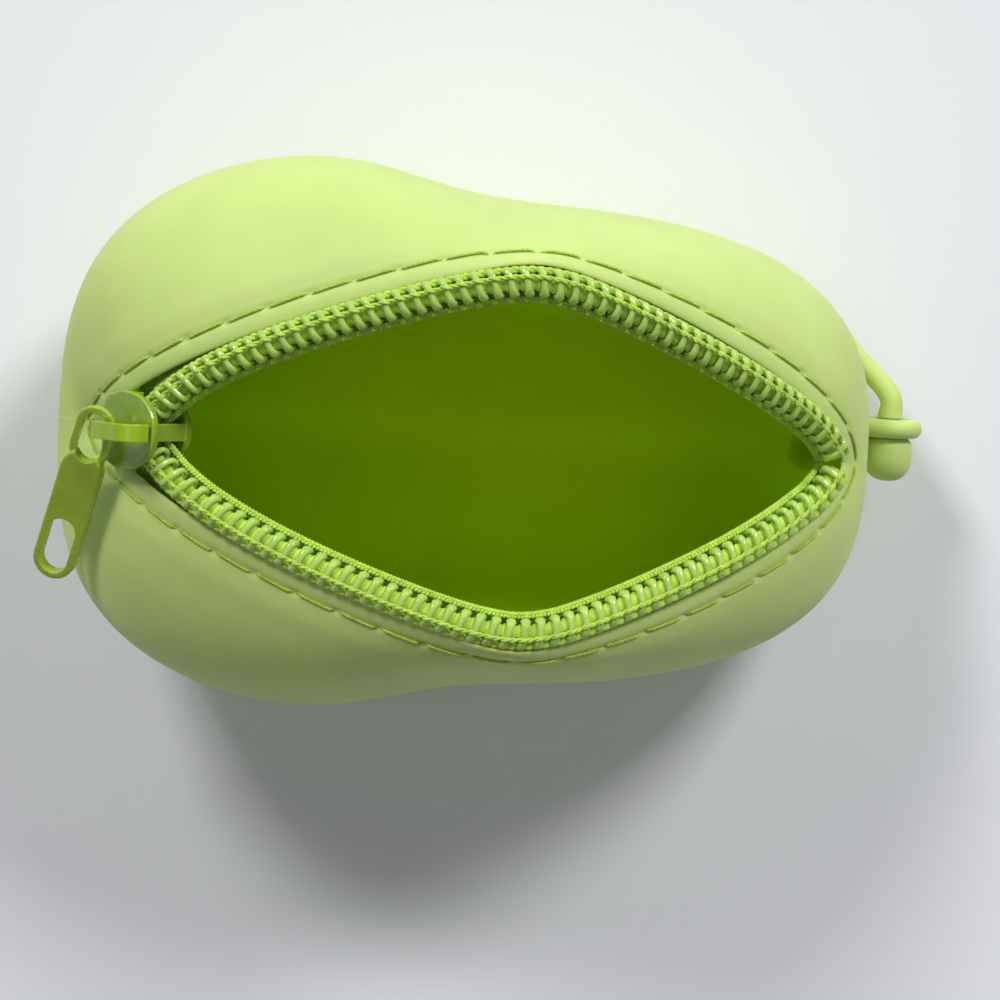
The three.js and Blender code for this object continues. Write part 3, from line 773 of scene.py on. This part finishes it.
def shell_faces(rows, columns, side):
    """The shell's faces, and across the split the faces that close each end of the half."""
    faces = faces_of_grid(rows, columns)
    right = rows * columns
    left = right + rows
    for k in range(rows // 2 - 1):
        a, b, c, d = k, k + 1, rows - 2 - k, rows - 1 - k
        faces.append([right + i for i in (d, c, b, a)])
        faces.append([left + i for i in (a, b, c, d)])
    return faces if side == BACK else [face[::-1] for face in faces]


def paint_inside(mesh, first_row, rows, columns):
    mesh.materials.append(silicone_inside_glow)
    inside = np.zeros(len(mesh.polygons), np.int32)
    inside[first_row * (columns - 1):(rows - 1) * (columns - 1)] = 1
    mesh.polygons.foreach_set("material_index", inside)


def level_split(mesh, rows, columns):
    """Normals along the split that lie in its plane, so that the two halves shade as one."""
    normals = np.zeros(len(mesh.vertices) * 3, np.float32)
    mesh.vertex_normals.foreach_get("vector", normals)
    normals = normals.reshape(-1, 3)
    split = np.arange(rows) * columns
    for column in (split, split + columns - 1):
        normals[column, 1] = 0
    mesh.normals_split_custom_set_from_vertices(unit(normals).tolist())


def half_shell(side):
    """One half of the pouch: outer skin, rounded lip, inner skin and flat base, closed at the split."""
    half_turn = graded_half_turn(SHELL_COLUMNS)
    v = shell_levels(half_turn)
    t = np.repeat(half_turn[None], len(v), axis=0) * side
    lip = skin(t[0], np.ones(len(half_turn)))
    below = np.linalg.norm(skin(t, v) - lip[None], axis=2)
    outer = sewn_skin(t, v, below)
    inner = inner_skin(t, v, below)
    edge = rounded_lip(t[0])
    under = base_rows(outer[0], 0)
    over = base_rows(inner[0], WALL)
    rows = np.array([*under, *outer, *edge, *inner[::-1], *over[::-1]])
    count, columns = rows.shape[:2]
    points = np.concatenate([rows.reshape(-1, 3), rows[:, 0], rows[:, -1]])
    faces = shell_faces(count, columns, side)
    obj = new_piece("pouch_" + lip_name(side), points, faces, silicone, "silicone")
    paint_inside(obj.data, len(under) + len(outer) + len(edge) // 2, count, columns)
    level_split(obj.data, count, columns)
    return follow_lip(obj)


def stitches(side):
    """Two-ply lockstitches, each dipping into its hole at both ends."""
    made = Solid()
    share = np.linspace(-1, 1, STITCH_STEPS)
    rise = STITCH_PROUD - STITCH_DIP * np.abs(share) ** STITCH_DIP_POWER
    for k in range(STITCHES // 2):
        start = k * STITCH_PITCH + STITCH_GAP / 2
        s = start + np.linspace(0, STITCH_PITCH - STITCH_GAP, STITCH_STEPS)
        t = np.interp(s, SEAM_RUN, SEAM_T) * side
        v = np.interp(s, SEAM_RUN, SEAM_V)
        line = off_skin(t, v, rise)
        hint = np.cross(skin_normal(t, v), unit(np.gradient(line, axis=0)))
        _, across, up = axes_along(line, hint)
        line = line + across * (STITCH_SKEW * share)[:, None] * side
        for ply in (0, math.pi):
            turn = s * TURN / PLY_TWIST + ply
            swing = across * np.cos(turn)[:, None] + up * np.sin(turn)[:, None]
            made.sweep(line + swing * PLY_OFFSET, across, up, PLY_RADIUS, PLY_RADIUS)
    obj = made.piece("stitches_" + lip_name(side), seam_lime, "stitch_thread")
    return follow_lip(obj)


SLIDER_Z = float(slot_height(SLIDER_X)) - COIL_LIFT
SLIDER_FLAT_TO = SLIDER_X + 2 / 3 * SLIDER_NOSE * math.cos(SLIDER_TILT)


def coil_half(x):
    s = along_lip(x, COIL_SPLIT, COIL_RIGHT)
    p = np.where(x < SLOT_APEX, COIL_POWER_LEFT, COIL_POWER_RIGHT)
    open_half = COIL_MEETS_AT + (COIL_OPENING / 2 - COIL_MEETS_AT) * np.maximum(0, 1 - s) ** p
    return np.where(x <= COIL_SPLIT, COIL_MEETS_AT, open_half)


def coil_height(x):
    """In the slider at its slope, then along the lip, sunk a little where the slider stops."""
    held = SLIDER_Z + (x - SLIDER_X) * math.tan(SLIDER_TILT)
    sink = COIL_END_SINK * np.clip((x - COIL_SINK_FROM) / COIL_SINK_SPAN, 0, 1)
    return np.where(x <= SLIDER_FLAT_TO, held, slot_height(x) + COIL_LIFT - sink)


def coil_line(side, count):
    """The zip's line on one lip, and its axes: ahead to the right, across to the opening, and up."""
    start = [COIL_SPLIT + d for d in COIL_AFTER_SPLIT]
    end = [COIL_RIGHT + d for d in COIL_BEFORE_END]
    x = np.array([COIL_LEFT, *start, *COIL_MIDDLE, *end])
    points = stack(x, side * coil_half(x), coil_height(x))
    tail = points[-1] + np.array(COIL_TAIL) * (1, -side, 1)
    line = smooth_line(np.concatenate([points, tail[None]]), count)
    ahead = unit(np.gradient(line, axis=0))
    inward = stack(side * ahead[:, 1], -side * ahead[:, 0], 0.0)
    ahead, across, up = axes_along(line, inward)
    return line, ahead, across, up * np.sign(up[:, 2:3])


def at_share(rows, share):
    k = np.clip(share, 0, 1) * (len(rows) - 1)
    low = np.minimum(k.astype(int), len(rows) - 2)
    return mix(rows[low], rows[low + 1], (k - low)[:, None])


def clear_of_slider(x):
    """1 where the coil lies free, less where the slider waits at either end of its way."""
    start = np.clip((x - SLIDER_X - SLIDER_HALF) / SLIDER_FADE_START, 0, 1)
    end = np.clip((SLIDER_STOP_X - SLIDER_HALF - x) / SLIDER_FADE_END, 0, 1)
    return start * mix(FREE_AT_STOP, 1, end)


def curl_path(side, turn):
    """The wire's line in flat curls, the axes of its section, and its place along the bag."""
    line, ahead, across, up = coil_line(side, COIL_LINE_STEPS)
    share = (turn + CURL_LEAN * np.sin(turn)) / (TURN * CURLS)
    at = at_share(line, share)
    fore, out, rise = (unit(at_share(rows, share)) for rows in (ahead, across, up))
    swing = power(np.cos(turn), CURL_FLAT_ACROSS)
    swing = np.where(swing > 0, swing * CURL_BACK_REACH, swing) * COIL_HALF_WIDTH
    lift = power(np.sin(turn), CURL_FLAT_UP) * COIL_HALF_HEIGHT
    wire = at - out * swing[:, None] + rise * lift[:, None]
    tangent = unit(np.gradient(wire, axis=0))
    side_axis = unit(fore - tangent * (fore * tangent).sum(axis=1, keepdims=True))
    return wire, side_axis, np.cross(tangent, side_axis), at[:, 0]


def zip_coil(side):
    """One nylon wire in flat curls: narrow legs, a flat head to the opening, a round back to the lip."""
    turn = np.arange(CURLS * CURL_STEPS + 1) / CURL_STEPS * TURN
    wire, side_axis, up_axis, x = curl_path(side, turn)
    around = np.mod(turn, TURN) - math.pi
    head = bell(around, HEAD_SPAN)
    back = bell(np.abs(around) - math.pi, BACK_SPAN)
    free = clear_of_slider(x)
    wide = LEG_WIDE + free * (HEAD_WIDER * head + BACK_WIDER * back)
    high = LEG_HIGH + free * (HEAD_HIGHER * head + BACK_HIGHER * back)
    made = Solid()
    made.sweep(wire, side_axis, up_axis, wide, high, CURL_SIDES)
    obj = made.piece("coil_" + lip_name(side), nylon, "nylon")
    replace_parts(obj, lip_name(side) + "_zip_coil")
    return follow_lip(obj)


def coil_threads(side):
    """Two twisted rows of sewing that hold the coil down: over each leg, and down between the legs."""
    made = Solid()
    line, _, across, up = coil_line(side, CURLS * SEWING_STEPS + 1)
    phase = np.linspace(0, CURLS * TURN, len(line)) - SEWING_PHASE
    over_leg = np.cos(phase)
    sunk = SEWING_SUNK_AT_SLIDER * (1 - clear_of_slider(line[:, 0]))
    top = COIL_HALF_HEIGHT + WIRE / 2 - sunk
    for row, lower, dip, thick in SEWING_ROWS:
        for strand in (1, -1):
            high = top - lower - dip * (0.5 - 0.5 * over_leg) + SEWING_CROSS * strand * over_leg
            sway = row + strand * SEWING_SWAY * thick * np.sin(phase)
            path = line + across * sway[:, None] + up * high[:, None]
            _, wide, tall = axes_along(path, across)
            made.sweep(path, wide, tall, thick, thick * SEWING_FLAT)
    obj = made.piece("coil_thread_" + lip_name(side), sewing_lime, "stitch_thread")
    return follow_lip(obj)


def selvedge(side):
    """The braided cord along the tape's inner edge, close under the coil's heads."""
    made = Solid()
    line, _, across, up = coil_line(side, CURLS * BRAID_STEPS + 1)
    middle = line + across * (TAPE_PAST_COIL - BRAID_INSET) - up * (TAPE_BELOW - BRAID_LIFT)
    phase = np.linspace(0, CURLS * TURN, len(line)) * BRAID_TURNS
    for ply in range(BRAID_PLIES):
        turn = phase + ply * TURN / BRAID_PLIES
        sway = across * (BRAID_SWAY * np.cos(turn))[:, None]
        path = middle + sway + up * (BRAID_HEAVE * np.sin(2 * turn))[:, None]
        _, wide, tall = axes_along(path, across)
        made.sweep(path, wide, tall, BRAID_WIDE, BRAID_HIGH)
    obj = made.piece("selvedge_" + lip_name(side), sewing_lime, "stitch_thread")
    return follow_lip(obj)


def coil_core(side):
    """The braided filler cord inside the coil."""
    made = Solid()
    line, _, across, up = coil_line(side, TAPE_ROWS)
    swell = 1 + CORE_BRAID * np.sin(np.linspace(0, 1, len(line)) * CURLS * 2 * TURN)
    free = clear_of_slider(line[:, 0])
    wide = (CORE_HALF_WIDTH + CORE_WIDER_FREE * free) * swell
    high = (CORE_HALF_HEIGHT + CORE_HIGHER_FREE * free) * swell
    made.sweep(line, across, up, wide, high, CORE_SIDES)
    obj = made.piece("core_" + lip_name(side), core_lime, "core_cord")
    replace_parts(obj, lip_name(side) + "_coil_core")
    return follow_lip(obj)


def tape_middle(side, line, across, up):
    """The middle of the tape: from under the lip, below the coil, to its looped inner edge."""
    half = (SLOT_RIGHT - SLOT_LEFT) / 2
    t = np.arccos(np.clip((line[:, 0] - (SLOT_LEFT + SLOT_RIGHT) / 2) / half, -1, 1))
    v = levels_below_lip(t, [TAPE_UNDER_LIP])[:, 0]
    t = t * side
    ones = np.ones(len(t))
    hidden = off_skin(t, v, -TAPE_BEHIND * ones)
    at_lip = off_skin(t, ones, -TAPE_BEHIND * ones)
    below = line - up * TAPE_BELOW
    past = below - across * TAPE_AT_COIL_BACK
    loops = TAPE_LOOPS * np.cos(2 * np.linspace(0, CURLS * TURN, len(line)))
    reach = TAPE_PAST_COIL - TAPE_EDGE_INSET + loops
    inner = line + across * reach[:, None] - up * (TAPE_BELOW - TAPE_EDGE_LIFT)
    knots = np.stack([hidden, at_lip, past, below, inner], axis=1)
    return np.stack([smooth_line(row, TAPE_COLUMNS) for row in knots])


def zip_tape(side):
    """The woven tape, rounded at both edges and fuller along the inner one."""
    line, _, across, up = coil_line(side, TAPE_ROWS)
    rows = tape_middle(side, line, across, up)
    down = unit(np.cross(np.gradient(rows, axis=0), np.gradient(rows, axis=1)))
    down = down * np.sign(-down[:, :, 2:3] + 1e-9)
    place = np.linspace(0, 1, TAPE_COLUMNS)
    rounded = np.sqrt(np.clip(1 - (2 * place - 1) ** TAPE_EDGE_POWER, TAPE_EDGE_LEAST, 1))
    thick = TAPE_THICK / 2 * rounded * (1 + TAPE_EDGE_FULLER * bell(place - 1, TAPE_EDGE_SPAN))
    offset = down * thick[None, :, None]
    ring = np.concatenate([rows - offset, (rows + offset)[:, ::-1]], axis=1)
    cross = np.concatenate([place, place[::-1]]) * TAPE_WEAVE_WIDTH
    run = stack(lengths_along(line)[:, None], cross[None], 0.0).reshape(-1, 3)
    faces = faces_of_tube(*ring.shape[:2])
    if side == BACK:
        faces = [face[::-1] for face in faces]
    obj = new_piece("tape_" + lip_name(side), ring, faces, tape_lime, "tape", run=run)
    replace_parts(obj, lip_name(side) + "_zip_tape")
    return follow_lip(obj)


def lug_profile():
    """Round the lug's section: share from bore to outline, what is taken off, and place along the bore."""
    half = LUG_THICK / 2
    face = (0.75, 0.5, 0.25)
    rows = []
    for a in np.radians(np.linspace(-90, 90, 13)):
        rows.append((1, (math.cos(a) - 1) * LUG_RIM, half * math.sin(a)))
    rows += [(k, -LUG_RIM * k, half) for k in face]
    for a in np.radians(np.linspace(90, -90, 9)):
        rows.append((0, LUG_LEAD * (1 - math.cos(a)), half * math.sin(a)))
    rows += [(k, -LUG_RIM * k, -half) for k in reversed(face)]
    return rows


def strap_lug():
    """The lug: a rounded plate with a bore, run into the neck's wall."""
    turn = np.linspace(0, TURN, LUG_STEPS, endpoint=False)
    flat = LUG_ROOT_REACH / np.maximum(np.abs(np.cos(turn)), 1e-6)
    tall = LUG_ROOT / 2 / np.maximum(np.abs(np.sin(turn)), 1e-6)
    root = np.where(np.cos(turn) < 0, np.minimum(flat, tall), 0)
    outline = (LUG_RADIUS**LUG_BLEND + root**LUG_BLEND) ** (1 / LUG_BLEND)
    bore = BALL_NECK_RADIUS + FIT_GAP
    rows = []
    for k, inset, y in lug_profile():
        radius = mix(bore, outline, k) + inset
        rows.append(stack(LUG_X + radius * np.cos(turn), LUG_Y + y, LUG_Z + radius * np.sin(turn)))
    faces = faces_of_grid(len(rows), len(turn), around=True, closed=True)
    obj = new_piece("strap_lug", rows, faces, silicone, "silicone")
    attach(obj, "pouch")


def strap_ball():
    """The pushed-through ball end, a little flattened along the bore, with its neck."""
    shoulder = LUG_Y - LUG_THICK / 2 - BALL_SEAT
    a = np.linspace(-math.pi / 2 + 0.02, BALL_TOP, 40)
    p, q = BALL_TOP_POWERS
    full = np.where(a > 0, (1 - np.abs(np.sin(a)) ** p) ** q, np.cos(a) ** BALL_END_POWER)
    ball_y = shoulder - BALL_LENGTH * (np.sin(BALL_TOP) - np.sin(a)) / (1 + np.sin(BALL_TOP))
    neck_y = np.linspace(shoulder + 0.1, LUG_Y + LUG_THICK / 2 + FIT_GAP, 8)
    neck = BALL_NECK_RADIUS + BALL_NECK_FILLET * np.exp((neck_y[0] - neck_y) / BALL_NECK_FILLET_SPAN)
    radius = np.concatenate([BALL_RADIUS * full, neck])
    line = stack(LUG_X, np.concatenate([ball_y, neck_y]), LUG_Z)
    right = np.tile([1.0, 0, 0], (len(line), 1))
    up = np.tile([0, 0, 1.0], (len(line), 1))
    made = Solid()
    made.sweep(line, up, right, radius, radius, BALL_SIDES)
    obj = made.piece("ball_end", silicone_strap, "silicone")
    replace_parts(obj, "strap_ball")
    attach(obj, "pouch")


def strap():
    """The moulded cord from the ball to its root on the back of the neck."""
    start = LUG_Y + LUG_THICK / 2 + STRAP_START
    away = STRAP_RADIUS + STRAP_CLEAR
    turns = np.array([0.36, 0.55, 0.72, 0.86, 0.95, 1.0])
    aways = np.array([away + 0.3, away, away, away + 0.2, away - 0.8, -STRAP_ROOT_DEPTH])
    on_skin = off_skin(STRAP_ROOT * turns, mix(STRAP_HIGH, STRAP_LOW, turns), aways)
    points = [(LUG_X, start, LUG_Z), (LUG_X - 0.1, start + STRAP_STRAIGHT, LUG_Z + 0.1), *on_skin]
    line = smooth_line(points, STRAP_STEPS)
    _, across, up = axes_along(line, np.tile([0, 0, 1.0], (len(line), 1)))
    share = np.linspace(0, 1, len(line))
    at_start = STRAP_FLARE_START * np.exp(-share / STRAP_FLARE_START_SPAN)
    at_root = STRAP_FLARE_ROOT * np.exp(-(1 - share) / STRAP_FLARE_ROOT_SPAN)
    radius = STRAP_RADIUS * (1 + at_start + at_root)
    made = Solid()
    made.sweep(line, across, up, radius, radius, STRAP_SIDES)
    obj = made.piece("strap_cord", silicone_strap, "silicone")
    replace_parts(obj, "hanging_strap")
    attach(obj, "pouch")


def enamel(name, paint):
    """A casting keeps its solid, with crisp edges and enamel."""
    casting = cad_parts[name]
    casting.data.materials.clear()
    casting.data.materials.append(paint_finish(name + "_paint", paint))
    casting.data.polygons.foreach_set("use_smooth", [True] * len(casting.data.polygons))
    split = casting.modifiers.new("crisp_edges", "EDGE_SPLIT")
    split.split_angle = CRISP_EDGE


def floor():
    mesh = bpy.data.meshes.new("floor")
    corners = [(-1, -1), (1, -1), (1, 1), (-1, 1)]
    points = [(x * FLOOR_HALF, y * FLOOR_HALF, FLOOR_Z) for x, y in corners]
    mesh.from_pydata(points, [], [(0, 1, 2, 3)])
    obj = bpy.data.objects.new("floor", mesh)
    bpy.context.scene.collection.objects.link(obj)
    mesh.materials.append(floor_finish())


def lights():
    world = bpy.data.worlds.new("studio")
    bpy.context.scene.world = world
    world.use_nodes = True
    sky = world.node_tree.nodes["Background"]
    sky.inputs["Color"].default_value = SKY
    sky.inputs["Strength"].default_value = SKY_STRENGTH
    for name, place, size, watts in LAMPS:
        lamp = bpy.data.lights.new(name, "AREA")
        lamp.energy = watts
        lamp.size = size
        obj = bpy.data.objects.new(name, lamp)
        obj.location = place
        obj.rotation_euler = (Vector(LAMPS_AIM) - Vector(place)).to_track_quat("-Z", "Y").to_euler()
        bpy.context.scene.collection.objects.link(obj)


def camera():
    data = bpy.data.cameras.new("camera")
    data.sensor_width = CAMERA_SENSOR
    data.lens = CAMERA_LENS
    data.clip_start, data.clip_end = CAMERA_CLIP
    obj = bpy.data.objects.new("camera", data)
    back = Vector((0, math.sin(CAMERA_BACK), math.cos(CAMERA_BACK)))
    right = Matrix.Rotation(CAMERA_ROLL, 3, back) @ Vector((1, 0, 0))
    turn = Matrix((right, back.cross(right), back)).transposed()
    obj.matrix_world = Matrix.LocRotScale((Vector(LOOK_AT) + back * CAMERA_AWAY) * MM, turn, None)
    bpy.context.scene.collection.objects.link(obj)
    bpy.context.scene.camera = obj


for side in (BACK, FRONT):
    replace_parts(half_shell(side), "body_shell")
for side in (BACK, FRONT):
    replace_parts(stitches(side), "seam_thread")
for side in (BACK, FRONT):
    zip_tape(side)
    zip_coil(side)
    coil_threads(side)
    selvedge(side)
    coil_core(side)
strap_lug()
strap_ball()
strap()
# Painted light and shade: each casting gets the one enamel in its own lit or shaded copy.
enamel("slider_body", BODY_PAINT_SHADED)
enamel("slider_bail", BAIL_PAINT_LIT)
enamel("pull_tab", TAB_PAINT_SHADED)

bpy.context.scene.view_settings.view_transform = "Standard"
camera()
floor()
lights()
